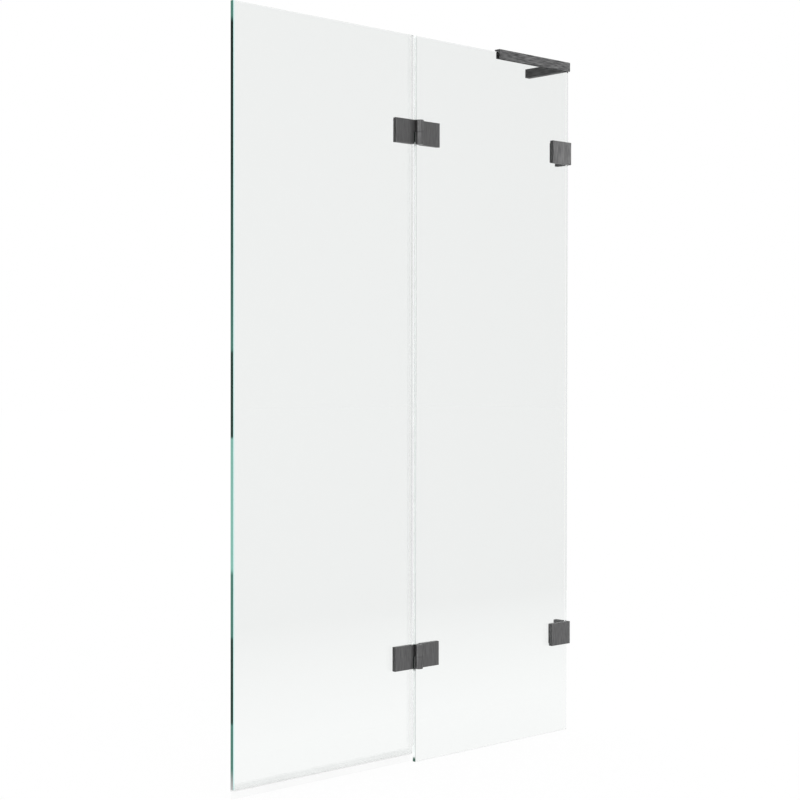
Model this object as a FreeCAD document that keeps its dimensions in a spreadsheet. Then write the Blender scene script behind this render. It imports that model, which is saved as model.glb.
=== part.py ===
import FreeCAD
import Part
import Sketcher
import os
import re

# A bath screen of two clear glass panels. The fixed panel is clamped to the wall and braced
# at its top, and the door panel hangs on it from two lift-off barrel hinges.
# The origin is the wall end of the fixed panel's bottom edge, in the middle of the glass.
# +X points at the wall, +Y into the bath, +Z up. Sizes are in millimetres.

SIZES = {
    # Glass panels
    "screen_height": 1500.0,
    "glass_thick": 8.0,
    "fixed_width": 474.0,
    "door_width": 464.0,
    "panel_gap": 9.5,
    "door_lift": 21.0,
    "glass_arris": 0.4,
    "glass_hole_radius": 6.0,
    "wall_gap": 2.0,
    # Hinge leaves and their knuckles
    "hinge_inset": 200.0,
    "leaf_height": 50.0,
    "leaf_reach": 62.0,
    "leaf_thick": 9.0,
    "leaf_round": 0.8,
    "axis_standoff": 3.6,
    "axis_shift": 1.0,
    "knuckle_radius": 8.5,
    "knuckle_clear": 3.0,
    "knuckle_round": 0.6,
    # Hinge pin, bush and thrust washer
    "pin_radius": 4.0,
    "pin_depth": 20.0,
    "pin_end_clear": 0.5,
    "pin_chamfer": 0.6,
    "bush_wall": 2.0,
    "washer_thick": 1.0,
    "washer_margin": 0.6,
    "turning_clear": 0.1,
    "running_clear": 0.05,
    "seat_clear": 0.02,
    # Back plates, pads and the screws through the glass
    "pad_thick": 1.0,
    "pad_inset": 0.5,
    "back_inner": 15.0,
    "back_width": 35.0,
    "back_height": 44.0,
    "back_thick": 4.0,
    "back_round": 0.6,
    "screw_radius": 3.0,
    "screw_head_radius": 5.6,
    "screw_bite": 6.0,
    "screw_pitch": 24.0,
    "screw_clear": 0.2,
    "thread_clear": 0.05,
    "tap_spare": 0.8,
    "socket_width": 4.0,
    "socket_depth": 2.2,
    "sleeve_clear": 0.1,
    # Wall clamps
    "clamp_width": 60.75,
    "clamp_height": 50.0,
    "clamp_thick": 9.0,
    "clamp_end_gap": 0.25,
    "bracket_reach": 54.0,
    "bracket_height": 44.0,
    "bracket_thick": 4.0,
    "bracket_fillet": 3.0,
    "wall_leg_thick": 10.0,
    "wall_leg_depth": 24.0,
    "wall_leg_height": 50.0,
    "wall_hole_radius": 3.0,
    "wall_hole_pitch": 28.0,
    "wall_hole_setback": 13.0,
    "wall_sink_radius": 5.6,
    # Top brace
    "brace_length": 230.0,
    "brace_height": 20.0,
    "brace_grip": 14.0,
    "brace_wall": 3.0,
    "brace_pad": 0.6,
    "brace_round": 0.8,
    "arm_length": 113.0,
    "arm_thick": 14.0,
    "arm_bore_radius": 4.0,
    "arm_bore_depth": 9.0,
    "arm_bore_inset": 28.0,
    "arm_bore_pitch": 65.0,
    "grub_radius": 2.0,
    "grub_socket": 2.0,
    "grub_inset": 40.0,
    "grub_pitch": 130.0,
    "corner_radius": 2.0,
    "corner_head_radius": 3.8,
    "corner_bite": 10.0,
    "corner_socket": 2.5,
    "corner_socket_depth": 1.4,
    # Clear seals on the door
    "seal_wall": 1.2,
    "seal_slack": 0.15,
    "seal_joint": 1.0,
    "edge_grip": 10.0,
    "edge_base": 1.2,
    "bulb_wall": 0.6,
    "bulb_clear": 0.3,
    "sill_grip": 12.0,
    "sill_base": 2.5,
    "sill_clear": 2.0,
    "sill_fin_half": 0.5,
    "sill_fin_lean": 3.0,
    # One overrun serves every cut that has to pass its wall
    "overrun": 1.0,
}
TOUCH = 1e-6

# Places that several pieces share
GLASS_HALF = "(glass_thick / 2)"
LEAF_BACK_Y = f"(-{GLASS_HALF} - pad_thick)"
LEAF_FACE_Y = f"({LEAF_BACK_Y} - leaf_thick)"
AXIS_X = "(-fixed_width - panel_gap / 2 + axis_shift)"
AXIS_Y = f"({LEAF_FACE_Y} - axis_standoff)"
DOOR_EDGE_X = "(-fixed_width - panel_gap)"
DOOR_FREE_X = f"({DOOR_EDGE_X} - door_width)"
FITTING_Z = {
    "upper": "(screen_height - hinge_inset)",
    "lower": "(door_lift + hinge_inset)",
}
# A leaf points along +X or -X from the hinge axis
LEAF_SIGN = {"fixed": 1, "door": -1}
BACK_PLATE_Y = f"({GLASS_HALF} + pad_thick)"
BACK_FACE_Y = f"({BACK_PLATE_Y} + back_thick)"
BRACKET_FACE_Y = f"({BACK_PLATE_Y} + bracket_thick)"
HINGE_FIXING = "(back_inner + back_width / 2)"
BRACKET_LEFT_X = "(wall_gap - bracket_reach)"
WALL_LEG_X = "(wall_gap - wall_leg_thick)"
CLAMP_FIXING_X = f"(({BRACKET_LEFT_X} + {WALL_LEG_X}) / 2)"
SCREW_HOLE = "(screw_radius + screw_clear)"
TAP_RADIUS = "(screw_radius + thread_clear)"
TAP_DEPTH = "(screw_bite + tap_spare)"
KNUCKLE_GAP = "(washer_thick + turning_clear)"
KNUCKLE_HEIGHT = f"((leaf_height - {KNUCKLE_GAP}) / 2)"
BUSH_BORE = "(pin_radius + running_clear)"
BUSH_OUTER = f"({BUSH_BORE} + bush_wall)"
BRACE_BOTTOM_Z = "(screen_height - brace_grip)"
BRACE_GRUB_Z = "(screen_height - brace_grip / 2)"
SLOT_HALF = f"({GLASS_HALF} + brace_pad)"
CHANNEL_HALF = f"({SLOT_HALF} + brace_wall)"
CHANNEL_LEFT_X = "(wall_gap - brace_length)"
ARM_MIDDLE_X = "(wall_gap - arm_thick / 2)"
ARM_MIDDLE_Z = f"({BRACE_BOTTOM_Z} + brace_height / 2)"
SEAL_INNER = f"({GLASS_HALF} + seal_slack)"
SEAL_OUTER = f"({SEAL_INNER} + seal_wall)"

doc = FreeCAD.newDocument("bath_screen")
sheet = doc.addObject("Spreadsheet::Sheet", "sizes")
for row, (name, size) in enumerate(SIZES.items(), start=1):
    sheet.set(f"A{row}", name)
    sheet.set(f"B{row}", str(size))
    sheet.setAlias(f"B{row}", name)
doc.recompute()
nodes = []


def formula(text):
    """Turn the size names in a formula into references to the sheet's cells."""
    return re.sub(r"[a-z_]+", lambda word: word.group() if word.group() not in SIZES
                  else f"sizes.{word.group()}", text)


def number(owner, text):
    """The present value of a formula."""
    return float(owner.evalExpression(formula(text)))


def new_body(label, x="0", y="0", z="0"):
    body = doc.addObject("PartDesign::Body", label)
    body.Label = label
    for axis, place in zip("xyz", (x, y, z)):
        body.setExpression(f"Placement.Base.{axis}", formula(place))
    return body


def new_sketch(body, role, level="0"):
    """A sketch on one of the body's own planes, moved along the plane's normal to a level."""
    plane = next(item for item in body.Origin.OriginFeatures if item.Role == role)
    sketch = body.newObject("Sketcher::SketchObject", f"{body.Label}_sketch")
    sketch.AttachmentSupport = [(plane, "")]
    sketch.MapMode = "FlatFace"
    sketch.setExpression("AttachmentOffset.Base.z", formula(level))
    return sketch


def place_point(sketch, geometry, point, place):
    """Hold one point of a sketch at a place given by two formulas."""
    for kind, text in zip(("DistanceX", "DistanceY"), place):
        held = Sketcher.Constraint(kind, -1, 1, geometry, point, number(sketch, text))
        index = sketch.addConstraint(held)
        sketch.setExpression(f"Constraints[{index}]", formula(text))


def outline(sketch, corners):
    """A closed outline of straight lines through corners given as pairs of formulas."""
    points = [FreeCAD.Vector(number(sketch, x), number(sketch, y), 0) for x, y in corners]
    lines = [sketch.addGeometry(Part.LineSegment(start, end), False)
             for start, end in zip(points, points[1:] + points[:1])]
    for line, following in zip(lines, lines[1:] + lines[:1]):
        sketch.addConstraint(Sketcher.Constraint("Coincident", line, 2, following, 1))
    for line, corner in zip(lines, corners):
        place_point(sketch, line, 1, corner)
    return sketch


def rectangle(sketch, x_one, y_one, x_two, y_two):
    return outline(sketch, [(x_one, y_one), (x_two, y_one), (x_two, y_two), (x_one, y_two)])


def circle(sketch, x, y, radius):
    middle = FreeCAD.Vector(number(sketch, x), number(sketch, y), 0)
    round_line = Part.Circle(middle, FreeCAD.Vector(0, 0, 1), number(sketch, radius))
    geometry = sketch.addGeometry(round_line, False)
    place_point(sketch, geometry, 3, (x, y))
    index = sketch.addConstraint(Sketcher.Constraint("Radius", geometry, number(sketch, radius)))
    sketch.setExpression(f"Constraints[{index}]", formula(radius))
    return sketch


def hexagon(sketch, width):
    """A hexagon about the sketch's origin, given by its width across the flats."""
    half = f"{width} / 2"
    low = f"{width} / 2 / sqrt(3)"
    tip = f"{width} / sqrt(3)"
    return outline(sketch, [(half, f"-{low}"), (half, low), ("0", tip),
                            (f"-{half}", low), (f"-{half}", f"-{low}"), ("0", f"-{tip}")])


def pad(body, sketch, length):
    feature = body.newObject("PartDesign::Pad", f"{body.Label}_pad")
    feature.Profile = sketch
    feature.setExpression("Length", formula(length))
    doc.recompute()
    return feature


def turn(body, sketch):
    """Turn a sketch about its upright axis."""
    feature = body.newObject("PartDesign::Revolution", f"{body.Label}_turn")
    feature.Profile = sketch
    feature.ReferenceAxis = (sketch, ["V_Axis"])
    doc.recompute()
    return feature


def pocket(body, sketch, depth, along_normal):
    """Cut a sketch into the body, along its plane's normal or against it."""
    before = body.Shape.Volume
    feature = body.newObject("PartDesign::Pocket", f"{body.Label}_pocket")
    feature.Profile = sketch
    feature.Reversed = along_normal
    feature.setExpression("Length", formula(depth))
    doc.recompute()
    if body.Shape.Volume > before - TOUCH:
        raise ValueError(f"{feature.Name} cuts nothing")
    return feature


def dress(body, kind, size, wanted):
    """Fillet or chamfer the edges of the body's last feature that the test picks."""
    base = body.Tip
    names = [f"Edge{index}" for index, edge in enumerate(base.Shape.Edges, start=1) if wanted(edge)]
    if not names:
        raise ValueError(f"{body.Label} has no edge for its {kind}")
    feature = body.newObject(f"PartDesign::{kind}", f"{body.Label}_{kind}")
    feature.Base = (base, names)
    feature.setExpression("Radius" if kind == "Fillet" else "Size", formula(size))
    doc.recompute()
    if feature.Shape.isNull():
        raise ValueError(f"{feature.Name} fails")
    return feature


def near(one, two):
    return abs(one - two) < TOUCH


def is_round(edge):
    return edge.Curve.TypeId == "Part::GeomCircle"


def lies_at(edge, axis, place):
    """True if a whole edge lies at one place along an axis."""
    box = edge.BoundBox
    low = getattr(box, axis + "Min")
    high = getattr(box, axis + "Max")
    return near(low, place) and near(high, place)


def keep(label, item):
    nodes.append((label, item))
    return item


def group(label, bodies):
    """Like pieces that share one node, as separate solids."""
    together = doc.addObject("Part::Compound", label)
    together.Label = label
    together.Links = bodies
    return keep(label, together)


def turned_ring(body, level, inner, outer, height):
    """A ring about the body's Z axis."""
    sketch = new_sketch(body, "XY_Plane", level)
    circle(sketch, "0", "0", inner)
    circle(sketch, "0", "0", outer)
    return pad(body, sketch, height)


def fixing_holes(sketch, x, pitch, radius, z="0"):
    """A pair of round holes, one above the other."""
    for sign in (1, -1):
        circle(sketch, x, f"{z} + {sign} * {pitch} / 2", radius)
    return sketch


# Glass panels
def glass_panel(label, left, right, bottom, hole_columns):
    """A toughened pane with polished arrises and a pair of holes for each fitting."""
    body = new_body(label)
    sketch = new_sketch(body, "XZ_Plane", f"-{GLASS_HALF}")
    rectangle(sketch, left, bottom, right, "screen_height")
    for column in hole_columns:
        for height in FITTING_Z.values():
            fixing_holes(sketch, column, "screw_pitch", "glass_hole_radius", height)
    pad(body, sketch, "glass_thick")
    face = number(body, GLASS_HALF)
    dress(body, "Chamfer", "glass_arris", lambda edge: not is_round(edge)
          and (lies_at(edge, "Y", face) or lies_at(edge, "Y", -face)))
    keep(label, body)


# Hinges
def hinge_leaf(height, side):
    """A plate on the glass whose web carries half of the hinge barrel."""
    sign = LEAF_SIGN[side]
    plate_back = "(axis_standoff + leaf_thick)"
    plate_end = "(knuckle_radius + knuckle_clear)"
    knuckle_low = "(-leaf_height / 2)" if side == "fixed" else f"({KNUCKLE_GAP} / 2)"
    mating_end = f"{-sign} * {KNUCKLE_GAP} / 2"
    outer_end = f"{-sign} * leaf_height / 2"
    shoulder = f"{-sign} * (leaf_height / 2 - knuckle_round)"
    body = new_body(f"{height}_{side}_leaf", AXIS_X, AXIS_Y, FITTING_Z[height])

    plate = new_sketch(body, "XY_Plane", "-leaf_height / 2")
    rectangle(plate, f"{sign} * {plate_end}", "axis_standoff", f"{sign} * leaf_reach", plate_back)
    pad(body, plate, "leaf_height")
    face = number(body, "axis_standoff")
    dress(body, "Fillet", "leaf_round", lambda edge: lies_at(edge, "Y", face))

    web = new_sketch(body, "XY_Plane", knuckle_low)
    rectangle(web, "0", "axis_standoff", f"{sign} * ({plate_end} + leaf_round)", "knuckle_radius")
    pad(body, web, KNUCKLE_HEIGHT)
    turn(body, outline(new_sketch(body, "XZ_Plane"), [
        ("0", mating_end), ("knuckle_radius", mating_end), ("knuckle_radius", shoulder),
        ("knuckle_radius - knuckle_round", outer_end), ("0", outer_end)]))

    bore = new_sketch(body, "XY_Plane", mating_end)
    bore_radius = "pin_radius" if side == "fixed" else BUSH_OUTER
    circle(bore, "0", "0", f"{bore_radius} + seat_clear")
    pocket(body, bore, "pin_depth", along_normal=side == "door")
    taps = new_sketch(body, "XZ_Plane", f"-{plate_back}")
    fixing_holes(taps, f"{sign} * {HINGE_FIXING}", "screw_pitch", TAP_RADIUS)
    pocket(body, taps, TAP_DEPTH, along_normal=True)
    keep(body.Label, body)


def hinge_pin(height):
    """The pin stands in the fixed knuckle and carries the door's bush."""
    body = new_body(f"{height}_hinge_pin", AXIS_X, AXIS_Y, FITTING_Z[height])
    bottom = f"-({KNUCKLE_GAP} / 2 + pin_depth)"
    sketch = new_sketch(body, "XY_Plane", bottom)
    circle(sketch, "0", "0", "pin_radius")
    pad(body, sketch, f"{KNUCKLE_GAP} + 2 * pin_depth - pin_end_clear")
    dress(body, "Chamfer", "pin_chamfer", is_round)
    keep(body.Label, body)


def hinge_bush(height):
    """A plastic bush pressed into the door's knuckle."""
    body = new_body(f"{height}_hinge_bush", AXIS_X, AXIS_Y, FITTING_Z[height])
    turned_ring(body, f"{KNUCKLE_GAP} / 2", BUSH_BORE, BUSH_OUTER, "pin_depth")
    keep(body.Label, body)


def thrust_washer(height):
    """The washer between the knuckles takes the door's weight."""
    body = new_body(f"{height}_thrust_washer", AXIS_X, AXIS_Y, FITTING_Z[height])
    outer = "(knuckle_radius - washer_margin)"
    turned_ring(body, f"-{KNUCKLE_GAP} / 2", BUSH_BORE, outer, "washer_thick")
    keep(body.Label, body)


def flat_plate(label, place, y_front, y_back, span_x, height):
    """A flat plate against the glass, with a pair of holes at the middle of its place."""
    x, z = place
    body = new_body(label, x, y_back, z)
    sketch = new_sketch(body, "XZ_Plane")
    rectangle(sketch, span_x[0], f"-{height} / 2", span_x[1], f"{height} / 2")
    fixing_holes(sketch, "0", "screw_pitch", SCREW_HOLE)
    pad(body, sketch, f"{y_back} - {y_front}")
    keep(label, body)
    return body


def sink_screws(body, face):
    """Countersink a plate's screw holes on the face at this place along Y."""
    dress(body, "Chamfer", f"screw_head_radius + seat_clear - {SCREW_HOLE}",
          lambda edge: is_round(edge) and lies_at(edge, "Y", face)
          and near(edge.Curve.Radius, number(body, SCREW_HOLE)))


def hinge_back_plate(height, side):
    """The plate behind the glass that its leaf is screwed to, with the pads of both."""
    sign = LEAF_SIGN[side]
    place = (f"({AXIS_X} + {sign} * {HINGE_FIXING})", FITTING_Z[height])
    half = "back_width / 2"
    name = f"{height}_{side}"
    back = flat_plate(f"{name}_back_plate", place, BACK_PLATE_Y, BACK_FACE_Y,
                      (f"-{half}", half), "back_height")
    dress(back, "Fillet", "back_round",
          lambda edge: not is_round(edge) and lies_at(edge, "Y", 0))
    sink_screws(back, 0)
    flat_plate(f"{name}_back_pad", place, GLASS_HALF, BACK_PLATE_Y,
               (f"-({half} - pad_inset)", f"{half} - pad_inset"), "(back_height - 2 * pad_inset)")
    inner = f"{sign} * (knuckle_radius + knuckle_clear + pad_inset - {HINGE_FIXING})"
    outer = f"{sign} * (leaf_reach - pad_inset - {HINGE_FIXING})"
    flat_plate(f"{name}_front_pad", place, LEAF_BACK_Y, f"(-{GLASS_HALF})",
               (inner, outer), "(leaf_height - 2 * pad_inset)")


# Screws and sleeves
def sunk_screw(label, place, towards, radius, head_radius, length, socket, socket_depth):
    """A countersunk socket screw. Its head lies at the place, its shank runs along +Y or -Y."""
    body = new_body(label, *place)
    neck = f"{towards} * ({head_radius} - {radius})"
    tip = f"{towards} * {length}"
    profile = new_sketch(body, "XY_Plane")
    outline(profile, [("0", "0"), (head_radius, "0"), (radius, neck), (radius, tip), ("0", tip)])
    turn(body, profile)
    pocket(body, hexagon(new_sketch(body, "XZ_Plane"), socket), socket_depth,
           along_normal=towards < 0)
    return body


def glass_screws(label, places, head_y, plate_thick):
    """The screws of like fittings, from a back plate through the glass into the front."""
    length = f"({plate_thick} + 2 * pad_thick + glass_thick + screw_bite)"
    group(label, [
        sunk_screw(f"{label}_{index}", (x, head_y, z), -1, "screw_radius", "screw_head_radius",
                   length, "socket_width", "socket_depth")
        for index, (x, z) in enumerate(places, start=1)])


def glass_sleeves(label, places):
    """Plastic sleeves that keep the screws off the glass."""
    sleeves = []
    for index, (x, z) in enumerate(places, start=1):
        body = new_body(f"{label}_{index}", x, "0", z)
        sketch = new_sketch(body, "XZ_Plane", f"-{GLASS_HALF}")
        circle(sketch, "0", "0", SCREW_HOLE)
        circle(sketch, "0", "0", "glass_hole_radius - sleeve_clear")
        pad(body, sketch, "glass_thick")
        sleeves.append(body)
    group(label, sleeves)


def fixing_places(x):
    """The screw places of the upper and the lower fitting on one line."""
    return [(x, f"({height} + {sign} * screw_pitch / 2)")
            for height in FITTING_Z.values() for sign in (1, -1)]


def grub_screw(label, place, role, length):
    """A headless socket screw that runs along the normal of one of its planes."""
    body = new_body(label, *place)
    sketch = new_sketch(body, role)
    circle(sketch, "0", "0", "grub_radius")
    pad(body, sketch, length)
    pocket(body, hexagon(new_sketch(body, role), "grub_socket"), f"{length} / 2",
           along_normal=True)
    return body


# Wall clamps
def clamp_plate(height):
    """The plain plate that shows on the front of a wall clamp."""
    body = new_body(f"{height}_clamp_plate", CLAMP_FIXING_X, LEAF_BACK_Y, FITTING_Z[height])
    right = f"(-clamp_end_gap - {CLAMP_FIXING_X})"
    sketch = new_sketch(body, "XZ_Plane")
    rectangle(sketch, f"{right} - clamp_width", "-clamp_height / 2", right, "clamp_height / 2")
    pad(body, sketch, "clamp_thick")
    face = number(body, "-clamp_thick")
    dress(body, "Fillet", "leaf_round", lambda edge: lies_at(edge, "Y", face))
    pocket(body, fixing_holes(new_sketch(body, "XZ_Plane"), "0", "screw_pitch", TAP_RADIUS),
           TAP_DEPTH, along_normal=True)
    keep(body.Label, body)
    flat_plate(f"{height}_clamp_front_pad", (CLAMP_FIXING_X, FITTING_Z[height]), LEAF_BACK_Y,
               f"(-{GLASS_HALF})", (f"{right} - clamp_width + pad_inset", f"{right} - pad_inset"),
               "(clamp_height - 2 * pad_inset)")


def wall_bracket(height):
    """An angle bracket behind the glass: one leg is screwed to the clamp, one to the wall."""
    place = (CLAMP_FIXING_X, FITTING_Z[height])
    left = f"({BRACKET_LEFT_X} - {CLAMP_FIXING_X})"
    wall_face = f"(wall_gap - {CLAMP_FIXING_X})"
    leg_side = f"({wall_face} - wall_leg_thick)"
    body = flat_plate(f"{height}_wall_bracket", place, BACK_PLATE_Y, BRACKET_FACE_Y,
                      (left, wall_face), "bracket_height")
    sink_screws(body, 0)
    leg = new_sketch(body, "XY_Plane", "-wall_leg_height / 2")
    rectangle(leg, leg_side, "0", wall_face, "wall_leg_depth")
    pad(body, leg, "wall_leg_height")
    corner = number(body, leg_side)
    far = number(body, "wall_leg_depth")
    dress(body, "Fillet", "bracket_fillet",
          lambda edge: lies_at(edge, "X", corner) and lies_at(edge, "Y", 0)
          and near(edge.Length, number(body, "bracket_height")))
    dress(body, "Fillet", "leaf_round",
          lambda edge: lies_at(edge, "X", corner) and lies_at(edge, "Y", far))
    holes = new_sketch(body, "YZ_Plane", wall_face)
    fixing_holes(holes, "wall_hole_setback", "wall_hole_pitch", "wall_hole_radius")
    pocket(body, holes, "wall_leg_thick", along_normal=False)
    dress(body, "Chamfer", "wall_sink_radius - wall_hole_radius",
          lambda edge: is_round(edge) and lies_at(edge, "X", corner))
    flat_plate(f"{height}_clamp_back_pad", place, GLASS_HALF, BACK_PLATE_Y,
               (f"{left} + pad_inset", f"-{CLAMP_FIXING_X} - pad_inset"),
               "(bracket_height - 2 * pad_inset)")


# Top brace
def u_corners(inner, outer, low, step, top):
    """The corners of a channel that is open at its bottom, across the glass."""
    return [(f"-{outer}", low), (f"-{inner}", low), (f"-{inner}", step), (inner, step),
            (inner, low), (outer, low), (outer, top), (f"-{outer}", top)]


def brace_channel():
    """The channel that grips the top edge of the fixed glass."""
    body = new_body("brace_channel")
    top = f"({BRACE_BOTTOM_Z} + brace_height)"
    sketch = new_sketch(body, "YZ_Plane", CHANNEL_LEFT_X)
    outline(sketch, u_corners(SLOT_HALF, CHANNEL_HALF, BRACE_BOTTOM_Z,
                              "(screen_height + brace_pad)", top))
    pad(body, sketch, "brace_length")
    side = number(body, CHANNEL_HALF)
    dress(body, "Fillet", "brace_round", lambda edge: near(edge.Length, number(body, "brace_length"))
          and (lies_at(edge, "Y", side) or lies_at(edge, "Y", -side)))
    grubs = new_sketch(body, "XZ_Plane", f"-{CHANNEL_HALF}")
    for x in channel_grub_columns():
        circle(grubs, x, BRACE_GRUB_Z, "grub_radius + thread_clear")
    pocket(body, grubs, "brace_wall + overrun", along_normal=True)
    corner = new_sketch(body, "XZ_Plane", f"-{CHANNEL_HALF}")
    circle(corner, ARM_MIDDLE_X, BRACE_GRUB_Z, "corner_radius + thread_clear")
    pocket(body, corner, "brace_wall + overrun", along_normal=True)
    slot_side = number(body, SLOT_HALF)
    middle = number(body, ARM_MIDDLE_X)
    dress(body, "Chamfer", "corner_head_radius - corner_radius - thread_clear + seat_clear",
          lambda edge: is_round(edge) and lies_at(edge, "Y", slot_side)
          and near(edge.Curve.Center.x, middle))
    keep(body.Label, body)


def channel_grub_columns():
    first = f"({CHANNEL_LEFT_X} + grub_inset)"
    return [first, f"({first} + grub_pitch)"]


def arm_bore_columns():
    first = f"({CHANNEL_HALF} + arm_bore_inset)"
    return [first, f"({first} + arm_bore_pitch)"]


def brace_arm():
    """The arm along the wall. It slips over two studs and is locked from below."""
    body = new_body("brace_arm")
    far = f"({CHANNEL_HALF} + arm_length)"
    sketch = new_sketch(body, "XZ_Plane", f"-{far}")
    rectangle(sketch, "wall_gap - arm_thick", BRACE_BOTTOM_Z, "wall_gap",
              f"{BRACE_BOTTOM_Z} + brace_height")
    pad(body, sketch, "arm_length")
    inner_side = number(body, "wall_gap - arm_thick")
    far_end = number(body, far)
    dress(body, "Fillet", "brace_round", lambda edge: lies_at(edge, "Y", far_end)
          or (lies_at(edge, "X", inner_side) and near(edge.Length, number(body, "arm_length"))))
    bores = new_sketch(body, "YZ_Plane", "wall_gap")
    locks = new_sketch(body, "XY_Plane", BRACE_BOTTOM_Z)
    for y in arm_bore_columns():
        circle(bores, y, ARM_MIDDLE_Z, "arm_bore_radius")
        circle(locks, "wall_gap - arm_bore_depth / 2", y, "grub_radius + thread_clear")
    pocket(body, bores, "arm_bore_depth", along_normal=False)
    pocket(body, locks, "brace_height / 2", along_normal=True)
    corner = new_sketch(body, "XZ_Plane", f"-{CHANNEL_HALF}")
    circle(corner, ARM_MIDDLE_X, BRACE_GRUB_Z, "corner_radius + thread_clear")
    pocket(body, corner, "corner_bite + tap_spare", along_normal=False)
    keep(body.Label, body)


def brace_pad():
    """A thin rubber channel between the brace and the glass."""
    body = new_body("brace_pad")
    sketch = new_sketch(body, "YZ_Plane", CHANNEL_LEFT_X)
    outline(sketch, u_corners(GLASS_HALF, SLOT_HALF, BRACE_BOTTOM_Z, "screen_height",
                              "(screen_height + brace_pad)"))
    pad(body, sketch, f"-{CHANNEL_LEFT_X}")
    keep(body.Label, body)


def brace_screws():
    """The screw that joins channel and arm, and the grub screws of both."""
    corner = sunk_screw("brace_corner_screw", (ARM_MIDDLE_X, SLOT_HALF, BRACE_GRUB_Z), 1,
                        "corner_radius", "corner_head_radius", "(brace_wall + corner_bite)",
                        "corner_socket", "corner_socket_depth")
    keep(corner.Label, corner)
    group("channel_grub_screws", [
        grub_screw(f"channel_grub_{index}", (x, CHANNEL_HALF, BRACE_GRUB_Z), "XZ_Plane", "brace_wall")
        for index, x in enumerate(channel_grub_columns(), start=1)])
    lock_length = "(brace_height / 2 - arm_bore_radius)"
    lock_x = "(wall_gap - arm_bore_depth / 2)"
    group("arm_grub_screws", [
        grub_screw(f"arm_grub_{index}", (lock_x, y, BRACE_BOTTOM_Z), "XY_Plane", lock_length)
        for index, y in enumerate(arm_bore_columns(), start=1)])


# Door seals
def edge_seal(label, bottom, top):
    """One length of the seal on the door's hinged edge: a grip and a hollow bulb."""
    body = new_body(label)
    length = f"({top} - {bottom})"
    grip_end = f"({DOOR_EDGE_X} - edge_grip)"
    base = f"({DOOR_EDGE_X} + edge_base)"
    grip = new_sketch(body, "XY_Plane", bottom)
    outline(grip, [(grip_end, f"-{SEAL_OUTER}"), (base, f"-{SEAL_OUTER}"), (base, SEAL_OUTER),
                   (grip_end, SEAL_OUTER), (grip_end, SEAL_INNER), (DOOR_EDGE_X, SEAL_INNER),
                   (DOOR_EDGE_X, f"-{SEAL_INNER}"), (grip_end, f"-{SEAL_INNER}")])
    pad(body, grip, length)
    outer = "((panel_gap - edge_base - bulb_clear + bulb_wall) / 2)"
    middle = f"(-fixed_width - bulb_clear - {outer})"
    bulb = new_sketch(body, "XY_Plane", bottom)
    circle(bulb, middle, "0", outer)
    circle(bulb, middle, "0", f"{outer} - bulb_wall")
    pad(body, bulb, length)
    keep(label, body)


def edge_seals():
    """The edge seal is cut round the two hinges."""
    reach = "(leaf_height / 2 + seal_joint)"
    upper = FITTING_Z["upper"]
    lower = FITTING_Z["lower"]
    edge_seal("bottom_edge_seal", "(door_lift + sill_grip + seal_joint)", f"({lower} - {reach})")
    edge_seal("middle_edge_seal", f"({lower} + {reach})", f"({upper} - {reach})")
    edge_seal("top_edge_seal", f"({upper} + {reach})", "screen_height")


def sill_seal():
    """The drip seal under the door: a grip and a lip that leans into the bath."""
    body = new_body("sill_seal")
    grip_top = "(door_lift + sill_grip)"
    base = "(door_lift - sill_base)"
    sketch = new_sketch(body, "YZ_Plane", DOOR_FREE_X)
    outline(sketch, [
        (f"-{SEAL_OUTER}", grip_top), (f"-{SEAL_INNER}", grip_top), (f"-{SEAL_INNER}", "door_lift"),
        (SEAL_INNER, "door_lift"), (SEAL_INNER, grip_top), (SEAL_OUTER, grip_top),
        (SEAL_OUTER, base), ("sill_fin_half", base),
        ("sill_fin_lean + sill_fin_half", "sill_clear"),
        ("sill_fin_lean - sill_fin_half", "sill_clear"),
        ("-sill_fin_half", base), (f"-{SEAL_OUTER}", base)])
    pad(body, sketch, "door_width")
    keep(body.Label, body)


fixed_column = f"({AXIS_X} + {HINGE_FIXING})"
door_column = f"({AXIS_X} - {HINGE_FIXING})"
glass_panel("fixed_glass", "-fixed_width", "0", "0", [fixed_column, CLAMP_FIXING_X])
glass_panel("door_glass", DOOR_FREE_X, DOOR_EDGE_X, "door_lift", [door_column])
for fitting in FITTING_Z:
    for leaf_side in LEAF_SIGN:
        hinge_leaf(fitting, leaf_side)
        hinge_back_plate(fitting, leaf_side)
    hinge_pin(fitting)
    hinge_bush(fitting)
    thrust_washer(fitting)
    clamp_plate(fitting)
    wall_bracket(fitting)
for set_name, column, head_y, plate in (
        ("fixed_hinge", fixed_column, BACK_FACE_Y, "back_thick"),
        ("door_hinge", door_column, BACK_FACE_Y, "back_thick"),
        ("clamp", CLAMP_FIXING_X, BRACKET_FACE_Y, "bracket_thick")):
    glass_screws(f"{set_name}_screws", fixing_places(column), head_y, plate)
    glass_sleeves(f"{set_name}_sleeves", fixing_places(column))
brace_channel()
brace_arm()
brace_pad()
brace_screws()
edge_seals()
sill_seal()
doc.recompute()

for item in doc.Objects:
    if "Invalid" in item.State or "Error" in item.State:
        raise ValueError(f"{item.Label} failed: {item.State}")
for label, item in nodes:
    if item.Shape.isNull() or not item.Shape.isValid():
        raise ValueError(f"{label} has no valid shape")
os.makedirs("parts", exist_ok=True)
for label, item in nodes:
    item.Shape.exportStep(f"parts/{label}.step")
print(len(nodes), "nodes written")
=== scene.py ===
import math

import bpy
from bpy.props import FloatProperty, FloatVectorProperty, IntProperty, PointerProperty
from mathutils import Matrix, Vector


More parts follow.
